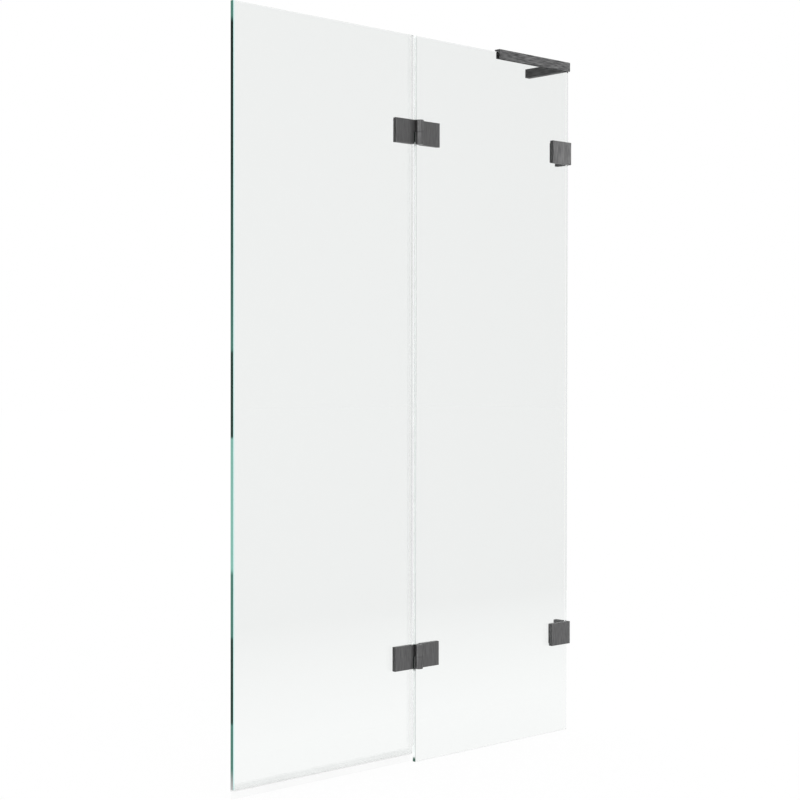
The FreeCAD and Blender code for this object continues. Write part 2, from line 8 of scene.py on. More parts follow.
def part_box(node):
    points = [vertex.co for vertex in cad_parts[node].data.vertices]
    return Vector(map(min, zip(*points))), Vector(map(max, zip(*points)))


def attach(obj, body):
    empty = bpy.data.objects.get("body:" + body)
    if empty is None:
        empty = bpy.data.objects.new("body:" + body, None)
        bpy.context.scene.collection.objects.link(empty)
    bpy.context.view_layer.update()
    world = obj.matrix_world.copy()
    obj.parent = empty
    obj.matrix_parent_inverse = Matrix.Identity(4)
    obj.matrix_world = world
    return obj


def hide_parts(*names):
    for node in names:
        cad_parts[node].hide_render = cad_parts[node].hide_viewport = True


bl_info = {
    "name": "Bath screen",
    "version": (1, 0, 0),
    "blender": (4, 5, 0),
    "location": "View3D > Sidebar > Bath screen",
    "description": "Dresses a glass bath screen and sets up its studio",
    "category": "Object",
}

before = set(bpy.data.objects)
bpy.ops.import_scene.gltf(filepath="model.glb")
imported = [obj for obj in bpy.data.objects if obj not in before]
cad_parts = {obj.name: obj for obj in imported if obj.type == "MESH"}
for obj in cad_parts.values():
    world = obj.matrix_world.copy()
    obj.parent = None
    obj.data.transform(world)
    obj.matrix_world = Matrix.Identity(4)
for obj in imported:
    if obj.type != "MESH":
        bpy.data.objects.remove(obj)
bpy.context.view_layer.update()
HEIGHTS = ("upper", "lower")
SIDES = ("fixed", "door")
BODY_OF_SIDE = {"fixed": "fixed_panel", "door": "door"}


# Sizes and colours that a user may change
class GlassLook(bpy.types.PropertyGroup):
    """The clear panes and their polished edges."""
    tint: FloatVectorProperty(
        name="Tint", description="Colour that the pane takes from what is behind it",
        subtype="COLOR", default=(0.935, 0.95, 0.942), min=0.0, max=1.0)
    # Painted light: the faces beside the door's free end take a painted green, standing in for the
    # edge's light seen through them
    end_painted_green: FloatVectorProperty(
        name="Painted end green", description="Colour of the pane's faces right beside the door's free end",
        subtype="COLOR", default=(0.38, 0.95, 0.9), min=0.0, max=1.0)
    end_width: FloatProperty(
        name="End width", description="How far the end tint reaches from the door's free end",
        subtype="DISTANCE", unit="LENGTH", default=0.0045, min=0.0001)
    index: FloatProperty(
        name="Index", description="Index of refraction of the glass", default=1.5, min=1.0, max=2.0)
    waviness: FloatProperty(
        name="Waviness", description="Strength of the slight waves in the faces",
        default=0.05, min=0.0, max=1.0)
    # Painted shade: the edge colour of the dark bands, where shade falls on the edge
    edge_dark: FloatVectorProperty(
        name="Painted dark edge", description="Edge colour where little light comes along the pane",
        subtype="COLOR", default=(0.016, 0.034, 0.026), min=0.0, max=1.0)
    edge_teal: FloatVectorProperty(
        name="Teal edge", description="Edge colour under plain light",
        subtype="COLOR", default=(0.094, 0.234, 0.188), min=0.0, max=1.0)
    # Painted light: the edge colour of the bright bands
    edge_mint: FloatVectorProperty(
        name="Painted mint edge", description="Edge colour where most light comes along the pane",
        subtype="COLOR", default=(0.27, 0.55, 0.47), min=0.0, max=1.0)
    # Painted light: the covered edge glows, though it is no lamp
    edge_glow: FloatProperty(
        name="Painted edge glow", description="Light that the covered edge carries out of the pane",
        default=0.6, min=0.0, max=1.0)
    # Pale colour: the ground arris's own frost, and painted light on the edge bands behind the seals
    edge_pale: FloatVectorProperty(
        name="Frost and painted light edge", description="Edge colour where a seal or a ground arris spreads the light",
        subtype="COLOR", default=(0.94, 0.97, 0.96), min=0.0, max=1.0)
    # Painted shade: the arris beside the covered edge is painted darker, as if in shadow
    edge_dull: FloatVectorProperty(
        name="Arris in painted shade", description="Colour of the arris beside the covered edge",
        subtype="COLOR", default=(0.3, 0.33, 0.32), min=0.0, max=1.0)


class MetalLook(bpy.types.PropertyGroup):
    """The brushed graphite fittings and the plain screws."""
    graphite: FloatVectorProperty(
        name="Graphite", description="Colour of the brushed coating",
        subtype="COLOR", default=(0.172, 0.172, 0.173), min=0.0, max=1.0)
    graphite_dark: FloatVectorProperty(
        name="Graphite lines", description="Colour down in the brush lines",
        subtype="COLOR", default=(0.09, 0.09, 0.091), min=0.0, max=1.0)
    steel: FloatVectorProperty(
        name="Steel", description="Colour of screws and pins",
        subtype="COLOR", default=(0.42, 0.42, 0.43), min=0.0, max=1.0)
    roughness: FloatProperty(
        name="Roughness", description="Mean roughness of the brushed faces",
        default=0.4, min=0.0, max=1.0)
    line_width: FloatProperty(
        name="Line width", description="Width of one brush line", subtype="DISTANCE",
        unit="LENGTH", default=0.0006, min=0.0001)
    line_length: FloatProperty(
        name="Line length", description="Length of one brush line", subtype="DISTANCE",
        unit="LENGTH", default=0.012, min=0.001)


class SealLook(bpy.types.PropertyGroup):
    """The clear seals of the door and the rubber pads."""
    thin: FloatVectorProperty(
        name="Thin plastic", description="Colour of the edge seal and the drip lip",
        subtype="COLOR", default=(0.962, 0.964, 0.963), min=0.0, max=1.0)
    grip: FloatVectorProperty(
        name="Grip plastic", description="Colour of the sill seal's grip",
        subtype="COLOR", default=(0.945, 0.948, 0.947), min=0.0, max=1.0)
    rim: FloatVectorProperty(
        name="Rim plastic", description="Colour of the thin rim along the top of the sill seal",
        subtype="COLOR", default=(0.992, 0.993, 0.993), min=0.0, max=1.0)
    thick: FloatVectorProperty(
        name="Thick plastic", description="Colour of the sill seal's thick base",
        subtype="COLOR", default=(0.86, 0.863, 0.862), min=0.0, max=1.0)
    edge_index: FloatProperty(
        name="Edge seal index", description="Index of refraction of the seal beside the door",
        default=1.08, min=1.0, max=2.0)
    sill_index: FloatProperty(
        name="Sill seal index", description="Index of refraction of the seal under the door",
        default=1.16, min=1.0, max=2.0)
    glass_gap: FloatProperty(
        name="Glass gap", description="Air between a seal and the edge that it covers",
        subtype="DISTANCE", unit="LENGTH", default=0.00015, min=0.0)
    lip_round: FloatProperty(
        name="Lip rounding", description="Radius at the corners of the seals", subtype="DISTANCE",
        unit="LENGTH", default=0.0004, min=0.0)
    pad_round: FloatProperty(
        name="Pad rounding", description="Radius at the edges of the rubber pads",
        subtype="DISTANCE", unit="LENGTH", default=0.0002, min=0.0)
    rubber: FloatVectorProperty(
        name="Rubber", description="Colour of the pads",
        subtype="COLOR", default=(0.035, 0.035, 0.036), min=0.0, max=1.0)
    bearing: FloatVectorProperty(
        name="Bearing plastic", description="Colour of sleeves, bushes and washers",
        subtype="COLOR", default=(0.72, 0.71, 0.68), min=0.0, max=1.0)
    washer: FloatVectorProperty(
        name="Washer", description="Colour of the washers between the hinge knuckles",
        subtype="COLOR", default=(0.05, 0.05, 0.051), min=0.0, max=1.0)


class StudioLook(bpy.types.PropertyGroup):
    """The floor, the cards that the glass and metal mirror, the lamps and the camera."""
    floor_size: FloatProperty(
        name="Floor size", description="Side of the floor", subtype="DISTANCE", unit="LENGTH",
        default=60.0, min=1.0)
    floor_colour: FloatVectorProperty(
        name="Floor", description="Colour of the floor", subtype="COLOR",
        default=(0.95, 0.95, 0.95), min=0.0, max=1.0)
    floor_glow: FloatProperty(
        name="Floor glow", description="Brightness that lens, metal and glass see in the floor",
        default=1.01, min=0.0)
    ambient: FloatProperty(
        name="Ambient", description="Strength of the even light", default=0.9, min=0.0)
    front_card: FloatProperty(
        name="Front card", description="Brightness of the card that the panes mirror",
        default=0.06, min=0.0)
    side_card: FloatProperty(
        name="Side card", description="Brightness of the card that the end faces mirror",
        default=0.02, min=0.0)
    side_top: FloatProperty(
        name="Side card top", description="Brightness at the top of the side card",
        default=0.05, min=0.0)
    arm_card: FloatProperty(
        name="Arm card", description="Brightness of the card that the brace arm mirrors",
        default=0.42, min=0.0)
    back_card: FloatProperty(
        name="Back card", description="Brightness of the card that top and bottom faces mirror",
        default=0.45, min=0.0)
    end_card: FloatProperty(
        name="End card", description="Brightness of the strip that the panes' wall ends mirror",
        default=0.93, min=0.0)
    hinge_card: FloatProperty(
        name="Hinge card", description="Brightness of the card that the upper hinge mirrors",
        default=0.25, min=0.0)
    clamp_card: FloatProperty(
        name="Clamp card", description="Brightness of the card that the upper clamp mirrors",
        default=4.8, min=0.0)
    barrel_card: FloatProperty(
        name="Barrel card", description="Brightness of the card that the hinge barrels mirror",
        default=2.6, min=0.0)
    web_card: FloatProperty(
        name="Web card", description="Brightness of the card that the hinge webs mirror",
        default=0.4, min=0.0)
    key_power: FloatProperty(
        name="Key lamp", description="Power of the large lamp", subtype="POWER", unit="POWER",
        default=12.0, min=0.0)
    camera_place: FloatVectorProperty(
        name="Camera place", description="Where the camera stands", subtype="TRANSLATION",
        unit="LENGTH", default=(-2.84583, -2.48048, 0.79787))
    yaw: FloatProperty(
        name="Yaw", description="Turn of the view from +Y towards +X", subtype="ANGLE",
        unit="ROTATION", default=math.radians(43.2137))
    pitch: FloatProperty(
        name="Pitch", description="Tilt of the view above the level", subtype="ANGLE",
        unit="ROTATION", default=math.radians(-0.8022))
    roll: FloatProperty(
        name="Roll", description="Turn of the camera about its view", subtype="ANGLE",
        unit="ROTATION", default=math.radians(0.0861))
    lens: FloatProperty(
        name="Lens", description="Focal length in millimetres", default=74.71, min=1.0)
    sensor: FloatProperty(
        name="Sensor", description="Sensor width in millimetres", default=36.0, min=1.0)


LOOKS = {"glass": GlassLook, "metal": MetalLook, "seal": SealLook, "studio": StudioLook}


def look(name):
    return getattr(bpy.context.scene, f"bath_screen_{name}")


# Shader helpers
def new_node(tree, kind, place, sockets=None, **settings):
    """A node at its place, with its settings and the values of its unlinked sockets."""
    node = tree.nodes.new(kind)
    node.location = place
    for name, value in settings.items():
        setattr(node, name, value)
    for name, value in (sockets or {}).items():
        node.inputs[name].default_value = value
    return node


def new_group(name, inputs, outputs):
    """A shader node group with named value or vector sockets."""
    group = bpy.data.node_groups.new(name, "ShaderNodeTree")
    kinds = {"value": "NodeSocketFloat", "vector": "NodeSocketVector"}
    for label, kind, default in inputs:
        socket = group.interface.new_socket(label, in_out="INPUT", socket_type=kinds[kind])
        socket.default_value = default
    for label, kind in outputs:
        group.interface.new_socket(label, in_out="OUTPUT", socket_type=kinds[kind])
    return group, group.nodes.new("NodeGroupInput"), group.nodes.new("NodeGroupOutput")


def place_group(tree, group, place, **values):
    """A node group in a tree, with the values of its unlinked inputs."""
    return new_node(tree, "ShaderNodeGroup", place, values, node_tree=group)


def map_range(tree, place, value, given=(0.0, 1.0), wanted=(0.0, 1.0)):
    """A value moved from one range to another, whose ends are numbers or sockets."""
    node = new_node(tree, "ShaderNodeMapRange", place)
    tree.links.new(value, node.inputs["Value"])
    for label, ends in (("From", given), ("To", wanted)):
        for limit, end in zip(("Min", "Max"), ends):
            socket = node.inputs[f"{label} {limit}"]
            if isinstance(end, bpy.types.NodeSocket):
                tree.links.new(end, socket)
            else:
                socket.default_value = end
    return node.outputs["Result"]


def object_parts(tree, place):
    """The X, Y and Z of a point in the part's own frame."""
    point = new_node(tree, "ShaderNodeTexCoord", place)
    parts = new_node(tree, "ShaderNodeSeparateXYZ", (place[0] + 200, place[1]))
    tree.links.new(point.outputs["Object"], parts.inputs["Vector"])
    return parts.outputs


# Brush lines: the detail of the two layers, how much the broad one counts and the noise it spans
BRUSH_DETAIL = {"Fine": 3.0, "Broad": 2.0}
BROAD_SHARE = 0.75
BRUSH_SPAN = (0.34, 0.66)
# How many broad lines there are for each fine one, across the brush's way and along it
BROAD_ACROSS = 0.25
BROAD_ALONG = 0.5
BRUSH_BUMP = 0.12
BRUSH_DEPTH = 0.0002
ROUGH_SWING = 0.08
# Soft mottle: the detail of its noise and the part of the noise that it spans
MOTTLE_DETAIL = 4.0
MOTTLE_SPAN = (0.3, 0.7)
# Lowest and highest share of a colour, over patches of plain and of clear finishes
PATCHY = (0.85, 1.1)
NEARLY_EVEN = (0.99, 1.01)
SEAL_PATCHES = 15.0
EDGE_PATCHES = 9.0
EDGE_ROUGHNESS = 0.2
# The skin of a plain finish is finer than its patches of colour
SKIN_SCALE = 3.0
SKIN_DEPTH = 0.0002
WAVE_SCALE = 5.0
WAVE_DEPTH = 0.001
END_POLISH = {"Scale": 40.0, "Low": 0.08, "High": 0.16}
END_SPECULAR = 0.05
# Share of the painted glow at the near and at the far side of the covered end, which paints the near
# side dimmer
END_FALL = (0.75, 1.03)


def brush_group():
    """Brush lines: fine and broad noise, stretched along the way that the brush went."""
    if "brush lines" in bpy.data.node_groups:
        return bpy.data.node_groups["brush lines"]
    group, given, result = new_group(
        "brush lines", [(layer, "vector", (1.0, 1.0, 1.0)) for layer in BRUSH_DETAIL],
        [("Shade", "value"), ("Height", "value")])
    links = group.links
    place = new_node(group, "ShaderNodeTexCoord", (-900, 0))
    layers = []
    for row, (layer, detail) in enumerate(BRUSH_DETAIL.items()):
        stretch = new_node(group, "ShaderNodeVectorMath", (-700, -200 * row), operation="MULTIPLY")
        links.new(place.outputs["Object"], stretch.inputs[0])
        links.new(given.outputs[layer], stretch.inputs[1])
        noise = new_node(group, "ShaderNodeTexNoise", (-500, -200 * row),
                         {"Scale": 1.0, "Detail": detail})
        links.new(stretch.outputs["Vector"], noise.inputs["Vector"])
        layers.append(noise.outputs["Fac"])
    fine, broad = layers
    both = new_node(group, "ShaderNodeMix", (-250, 0), {"Factor": BROAD_SHARE}, data_type="FLOAT")
    links.new(fine, both.inputs["A"])
    links.new(broad, both.inputs["B"])
    shade = map_range(group, (-50, 0), both.outputs["Result"], BRUSH_SPAN)
    links.new(shade, result.inputs["Shade"])
    links.new(fine, result.inputs["Height"])
    return group


def mottle_group():
    """Soft uneven patches: waves in glass, polish, and the skin of steel, plastic and rubber."""
    if "soft mottle" in bpy.data.node_groups:
        return bpy.data.node_groups["soft mottle"]
    group, given, result = new_group(
        "soft mottle", [("Scale", "value", 20.0), ("Low", "value", 0.0), ("High", "value", 1.0)],
        [("Value", "value"), ("Height", "value")])
    links = group.links
    place = new_node(group, "ShaderNodeTexCoord", (-700, 0))
    noise = new_node(group, "ShaderNodeTexNoise", (-450, 0), {"Detail": MOTTLE_DETAIL})
    links.new(place.outputs["Object"], noise.inputs["Vector"])
    links.new(given.outputs["Scale"], noise.inputs["Scale"])
    patches = map_range(group, (-200, 0), noise.outputs["Fac"], MOTTLE_SPAN,
                        (given.outputs["Low"], given.outputs["High"]))
    links.new(patches, result.inputs["Value"])
    links.new(noise.outputs["Fac"], result.inputs["Height"])
    return group


def new_material(name):
    """A node material with its Principled shader ready."""
    material = bpy.data.materials.new(name)
    material.use_nodes = True
    tree = material.node_tree
    shader = next(node for node in tree.nodes if node.type == "BSDF_PRINCIPLED")
    return material, tree, shader


def add_bump(tree, shader, height, strength, distance):
    bump = new_node(tree, "ShaderNodeBump", (-250, -350),
                    {"Strength": strength, "Distance": distance})
    tree.links.new(height, bump.inputs["Height"])
    tree.links.new(bump.outputs["Normal"], shader.inputs["Normal"])


def mix_colours(tree, shader, share, first, second):
    """Give a shader a colour that goes from the first to the second over the surface."""
    colour = new_node(tree, "ShaderNodeMix", (-300, 100),
                      {"A": (*first, 1.0), "B": (*second, 1.0)}, data_type="RGBA")
    tree.links.new(share, colour.inputs["Factor"])
    tree.links.new(colour.outputs["Result"], shader.inputs["Base Color"])


def patch_colour(tree, shader, colour, scale, span):
    """Give a shader a colour that is uneven in soft patches."""
    low, high = span
    patches = place_group(tree, mottle_group(), (-700, 100), Scale=scale, Low=low, High=high)
    shade = new_node(tree, "ShaderNodeVectorMath", (-400, 100), operation="SCALE")
    shade.inputs[0].default_value = colour
    tree.links.new(patches.outputs["Value"], shade.inputs["Scale"])
    tree.links.new(shade.outputs["Vector"], shader.inputs["Base Color"])


def mix_surface(tree, share, first, second):
    """Show the first shader where the share is none, and the second where it is one."""
    mix = new_node(tree, "ShaderNodeMixShader", (350, 0))
    out = next(node for node in tree.nodes if node.type == "OUTPUT_MATERIAL")
    tree.links.new(share, mix.inputs["Fac"])
    tree.links.new(first, mix.inputs[1])
    tree.links.new(second, mix.inputs[2])
    tree.links.new(mix.outputs["Shader"], out.inputs["Surface"])


def set_clear(shader, colour, index):
    """Set a Principled shader to a clear and polished stuff."""
    shader.inputs["Base Color"].default_value = (*colour, 1.0)
    shader.inputs["Roughness"].default_value = 0.0
    shader.inputs["IOR"].default_value = index
    shader.inputs["Transmission Weight"].default_value = 1.0


def glass_material():
    """Clear float glass, very slightly wavy, with painted green light beside the door's free end."""
    glass = look("glass")
    free_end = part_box("door_glass")[0].x
    material, tree, shader = new_material("clear glass")
    set_clear(shader, glass.tint, glass.index)
    # Painted light: the faces go to the painted green over the end width from the free end
    inward = map_range(tree, (-600, 100), object_parts(tree, (-1000, 100))["X"],
                       (free_end, free_end + glass.end_width))
    mix_colours(tree, shader, inward, glass.end_painted_green, glass.tint)
    waves = place_group(tree, mottle_group(), (-600, -300), Scale=WAVE_SCALE)
    add_bump(tree, shader, waves.outputs["Height"], glass.waviness, WAVE_DEPTH)
    return material


# Painted bands of light and shade up a pane's free edge, standing in for the studio that it mirrors:
# height, colour and strength
DOOR_BANDS = (
    (0.0210, "edge_pale", 0.55), (0.0335, "edge_pale", 0.45), (0.0600, "edge_teal", 1.0),
    (0.1450, "edge_teal", 1.0), (0.1480, "edge_dark", 1.8), (0.3040, "edge_dark", 1.8),
    (0.3070, "edge_teal", 0.95), (0.4290, "edge_teal", 0.95), (0.4330, "edge_mint", 1.0),
    (0.6810, "edge_mint", 0.9), (0.6840, "edge_dark", 1.7), (0.8440, "edge_dark", 1.7),
    (0.8480, "edge_teal", 0.95), (0.9420, "edge_teal", 0.65), (1.2000, "edge_dark", 1.4),
    (1.4640, "edge_dark", 0.65), (1.4670, "edge_teal", 1.0), (1.5000, "edge_teal", 1.0))
# The covered edge: painted light where it is pale behind the seal, painted shade where it is dark
# between the hinge plates, dark green where it is bare
FIXED_BANDS = (
    (0.0, "edge_dark", 3.0), (0.0085, "edge_dark", 3.5), (0.0110, "edge_pale", 0.85),
    (0.0330, "edge_pale", 0.85), (0.0360, "edge_pale", 1.0),
    (0.1910, "edge_pale", 1.0), (0.1925, "edge_dark", 0.3), (0.2415, "edge_dark", 0.3),
    (0.2430, "edge_pale", 1.0), (1.2765, "edge_pale", 1.0), (1.2780, "edge_dark", 0.3),
    (1.3265, "edge_dark", 0.3), (1.3280, "edge_pale", 1.0), (1.5000, "edge_pale", 1.0))
EDGE_BANDS = {"door": DOOR_BANDS, "fixed": FIXED_BANDS}


def banded_edge_material(side):
    """A polished end edge: green from the depth of the glass, with painted bands of the light and
    shade that it carries.
    """
    glass = look("glass")
    bands = EDGE_BANDS[side]
    low, high = bands[0][0], bands[-1][0]
    material, tree, shader = new_material(f"{side} pane end edge")
    parts = object_parts(tree, (-1000, 0))
    ramp = new_node(tree, "ShaderNodeValToRGB", (-400, 0))
    steps = ramp.color_ramp
    while len(steps.elements) < len(bands):
        steps.elements.new(1.0)
    # Each step paints a band of light or shade: the band's colour scaled by its strength
    for step, (height, colour, level) in zip(steps.elements, bands):
        step.position = (height - low) / (high - low)
        step.color = (*(level * part for part in getattr(glass, colour)), 1.0)
    share = map_range(tree, (-600, 0), parts["Z"], (low, high))
    tree.links.new(share, ramp.inputs["Fac"])
    tree.links.new(ramp.outputs["Color"], shader.inputs["Base Color"])
    # The covered end also glows: a painted glow in the colour of its bands, dimmer at its near side
    if side == "fixed":
        near_and_far = [corner.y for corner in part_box(f"{side}_glass")]
        fall = map_range(tree, (-400, -550), parts["Y"], near_and_far, END_FALL)
        painted_glow = new_node(tree, "ShaderNodeVectorMath", (-150, -550), operation="SCALE")
        tree.links.new(ramp.outputs["Color"], painted_glow.inputs[0])
        tree.links.new(fall, painted_glow.inputs["Scale"])
        tree.links.new(painted_glow.outputs["Vector"], shader.inputs["Emission Color"])
        shader.inputs["Emission Strength"].default_value = glass.edge_glow
    polish = place_group(tree, mottle_group(), (-400, -300), **END_POLISH)
    tree.links.new(polish.outputs["Value"], shader.inputs["Roughness"])
    shader.inputs["IOR"].default_value = glass.index
    shader.inputs["Specular IOR Level"].default_value = END_SPECULAR
    return material


def clear_edge_material(name, colour, bends):
    """An edge that is coloured from outside and clear, bending light or not, from inside."""
    glass = look("glass")
    material, tree, outside = new_material(name)
    patch_colour(tree, outside, colour, EDGE_PATCHES, PATCHY)
    outside.inputs["Roughness"].default_value = EDGE_ROUGHNESS
    if bends:
        inside = new_node(tree, "ShaderNodeBsdfPrincipled", (0, -400))
        set_clear(inside, glass.tint, glass.index)
    else:
        inside = new_node(tree, "ShaderNodeBsdfTransparent", (0, -400))
    side = new_node(tree, "ShaderNodeNewGeometry", (0, 300))
    mix_surface(tree, side.outputs["Backfacing"], outside.outputs["BSDF"], inside.outputs["BSDF"])
    return material


def brushed_material(name, along, depth=1.0, level=1.0):
    """Brushed graphite whose lines run along X, Y or Z, with their depth, and a level that lightens
    this copy as painted light.
    """
    metal = look("metal")
    middle = (Vector(metal.graphite) + Vector(metal.graphite_dark)) / 2.0
    # The level scales both colours: a lighter copy of the graphite is painted light
    dark, light = (middle.lerp(Vector(shade), depth) * level
                   for shade in (metal.graphite_dark, metal.graphite))
    material, tree, shader = new_material(name)
    fine = [1.0 / metal.line_width] * 3
    broad = [BROAD_ACROSS / metal.line_width] * 3
    fine["XYZ".index(along)] = 1.0 / metal.line_length
    broad["XYZ".index(along)] = BROAD_ALONG / metal.line_length
    lines = place_group(tree, brush_group(), (-700, 0), Fine=fine, Broad=broad)
    mix_colours(tree, shader, lines.outputs["Shade"], dark, light)
    rough = map_range(tree, (-400, -120), lines.outputs["Shade"],
                      wanted=(metal.roughness + ROUGH_SWING, metal.roughness - ROUGH_SWING))
    tree.links.new(rough, shader.inputs["Roughness"])
    shader.inputs["Metallic"].default_value = 1.0
    add_bump(tree, shader, lines.outputs["Height"], BRUSH_BUMP, BRUSH_DEPTH)
    return material


def mottled_material(name, colour, rough, scale, metallic=0.0, bump=0.0):
    """A plain finish with an uneven skin, between two roughnesses."""
    material, tree, shader = new_material(name)
    patch_colour(tree, shader, colour, scale, PATCHY)
    low, high = rough
    skin = place_group(tree, mottle_group(), (-700, -250), Scale=scale * SKIN_SCALE,
                       Low=low, High=high)
    tree.links.new(skin.outputs["Value"], shader.inputs["Roughness"])
    shader.inputs["Metallic"].default_value = metallic
    if bump:
        add_bump(tree, shader, skin.outputs["Height"], bump, SKIN_DEPTH)
    return material


def seal_material(name, colour, index):
    """Clear soft plastic, a little uneven in its colour."""
    material, tree, shader = new_material(name)
    set_clear(shader, colour, index)
    patch_colour(tree, shader, colour, SEAL_PATCHES, NEARLY_EVEN)
    return material


# Modelling helpers
MERGE_GAP = 1e-6
FLAT_ANGLE = math.radians(0.5)
SHARP_ANGLE = math.radians(40.0)
SMOOTH_ANGLE = math.radians(35.0)
# How much of a side a rounded corner may take, and the steps round it
CORNER_SHARE = 0.45
CORNER_STEPS = 4
PAD_STEPS = 2
# How far a face's normal leans: past this it looks along the axis more than across it
LEANS = 0.5
# A ground arris leans between these, and a square edge faces its axis as nearly as this
ARRIS_LEAN = (0.5, 0.9)
SQUARE = 0.99


def select_only(item):
    bpy.ops.object.select_all(action="DESELECT")
    item.select_set(True)
    bpy.context.view_layer.objects.active = item


def finish_node(node, material):
    """Give a fixed node of the frame its finish."""
    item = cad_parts[node]
    item.data.materials.clear()
    item.data.materials.append(material)


def finish_faces(piece, finishes, finish_of):
    """Give each face of a piece the one of its named finishes that suits it."""
    for material in finishes.values():
        piece.data.materials.append(material)
    names = list(finishes)
    for face in piece.data.polygons:
        face.material_index = names.index(finish_of(face))


def copy_node(node, name):
    """A merged copy of a node's shape, to model on."""
    piece = bpy.data.objects.new(name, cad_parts[node].data.copy())
    bpy.context.scene.collection.objects.link(piece)
    piece.data.materials.clear()
    select_only(piece)
    bpy.ops.object.mode_set(mode="EDIT")
    bpy.ops.mesh.select_all(action="SELECT")
    bpy.ops.mesh.remove_doubles(threshold=MERGE_GAP)
    bpy.ops.mesh.dissolve_limited(angle_limit=FLAT_ANGLE)
    bpy.ops.object.mode_set(mode="OBJECT")
    return piece


def round_edges(piece, width, segments):
    """Round a piece's sharp edges."""
    select_only(piece)
    bevel = piece.modifiers.new("rounding", "BEVEL")
    bevel.width = width
    bevel.segments = segments
    bevel.limit_method = "ANGLE"
    bevel.angle_limit = SHARP_ANGLE
    bpy.ops.object.modifier_apply(modifier=bevel.name)


def settle(piece, node, body):
    """Put a modelled piece on its body and hide the node whose place it takes."""
    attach(piece, body)
    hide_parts(node)


def rounded(corners, radius):
    """An outline whose corners are rounded where its sides leave room."""
    points = []
    for index, corner in enumerate(corners):
        here = Vector(corner)
        before = Vector(corners[index - 1]) - here
        after = Vector(corners[(index + 1) % len(corners)]) - here
        reach = min(radius, before.length * CORNER_SHARE, after.length * CORNER_SHARE)
        start = here + before.normalized() * reach
        end = here + after.normalized() * reach
        for step in range(CORNER_STEPS + 1):
            share = step / CORNER_STEPS
            points.append(start.lerp(here, share).lerp(here.lerp(end, share), share))
    return points


def round_points(middle, radius, turns):
    """Points on a circle about a place on the first axis, one for each turn."""
    return [Vector((middle + radius * math.cos(turn), radius * math.sin(turn))) for turn in turns]


def extrude_outline(name, loops, place, run):
    """A solid from a flat outline, with any holes, run out along one axis and shaded smooth."""
    rings = []
    for loop in loops:
        bpy.ops.object.select_all(action="DESELECT")
        bpy.ops.mesh.primitive_circle_add(vertices=len(loop), radius=1.0, fill_type="NOTHING")
        ring = bpy.context.object
        for vertex, point in zip(ring.data.vertices, loop):
            vertex.co = place(point)
        rings.append(ring)
    for ring in rings:
        ring.select_set(True)
    bpy.context.view_layer.objects.active = rings[0]
    if len(rings) > 1:
        bpy.ops.object.join()
    piece = bpy.context.view_layer.objects.active
    piece.name = name
    piece.data.name = name
    bpy.ops.object.mode_set(mode="EDIT")
    bpy.ops.mesh.select_all(action="SELECT")
    bpy.ops.mesh.fill(use_beauty=True)
    bpy.ops.mesh.select_all(action="SELECT")
    bpy.ops.mesh.extrude_region_move(TRANSFORM_OT_translate={"value": run})
    bpy.ops.mesh.select_all(action="SELECT")
    bpy.ops.mesh.normals_make_consistent(inside=False)
    bpy.ops.object.mode_set(mode="OBJECT")
    select_only(piece)
    bpy.ops.object.shade_smooth_by_angle(angle=SMOOTH_ANGLE)
    return piece


class ScreenOperator:
    """What the screen's operators share."""
    bl_options = {"REGISTER", "UNDO"}

    def execute(self, context):
        self.make()
        return {"FINISHED"}


class BATHSCREEN_OT_panes(ScreenOperator, bpy.types.Operator):
    """Make the two clear panes with their polished end edges"""
    bl_idname = "bathscreen.panes"
    bl_label = "Glass panes"

    @staticmethod
    def finish_of(side, normal):
        """The finish of a pane's face, by the way that it looks."""
        low, high = ARRIS_LEAN
        arris = low < abs(normal.y) < high
        if normal.x < -LEANS:
            return "covered arris" if arris and side == "fixed" else "banded end"
        if max(abs(normal.x), abs(normal.z)) > SQUARE:
            return "clear edge"
        return "pale arris" if arris else "clear face"

    def make(self):
        glass = look("glass")
        clear = glass_material()
        clear_edge = clear_edge_material("clear pane edge", glass.edge_teal, True)
        arris = clear_edge_material("ground arris", glass.edge_pale, False)
        # The arris beside the fixed pane's covered edge gets painted shade
        shaded_arris = clear_edge_material("covered arris", glass.edge_dull, False)
        for side in SIDES:
            node = f"{side}_glass"
            pane = copy_node(node, f"{side}_pane")
            finishes = {"clear face": clear, "banded end": banded_edge_material(side),
                        "clear edge": clear_edge, "pale arris": arris, "covered arris": shaded_arris}
            finish_faces(pane, finishes, lambda face: self.finish_of(side, face.normal))
            settle(pane, node, BODY_OF_SIDE[side])


class BATHSCREEN_OT_hinges(ScreenOperator, bpy.types.Operator):
    """Finish the hinge leaves, back plates, pins, bushes and washers"""
    bl_idname = "bathscreen.hinges"
    bl_label = "Hinges"

    def make(self):
        seal = look("seal")
        # The hinges' graphite is a painted-light copy, made 7% lighter
        brushed = brushed_material("brushed graphite hinge", "Z", depth=0.5, level=1.07)
        bearing = mottled_material("bearing plastic", seal.bearing, rough=(0.35, 0.5), scale=90.0)
        washer = mottled_material("washer plastic", seal.washer, rough=(0.4, 0.55), scale=90.0)
        steel = mottled_material("hinge pin steel", look("metal").steel, rough=(0.22, 0.34),
                                 scale=120.0, metallic=1.0)
        for height in HEIGHTS:
            for side in SIDES:
                finish_node(f"{height}_{side}_leaf", brushed)
                finish_node(f"{height}_{side}_back_plate", brushed)
            finish_node(f"{height}_hinge_pin", steel)
            finish_node(f"{height}_hinge_bush", bearing)
            finish_node(f"{height}_thrust_washer", washer)


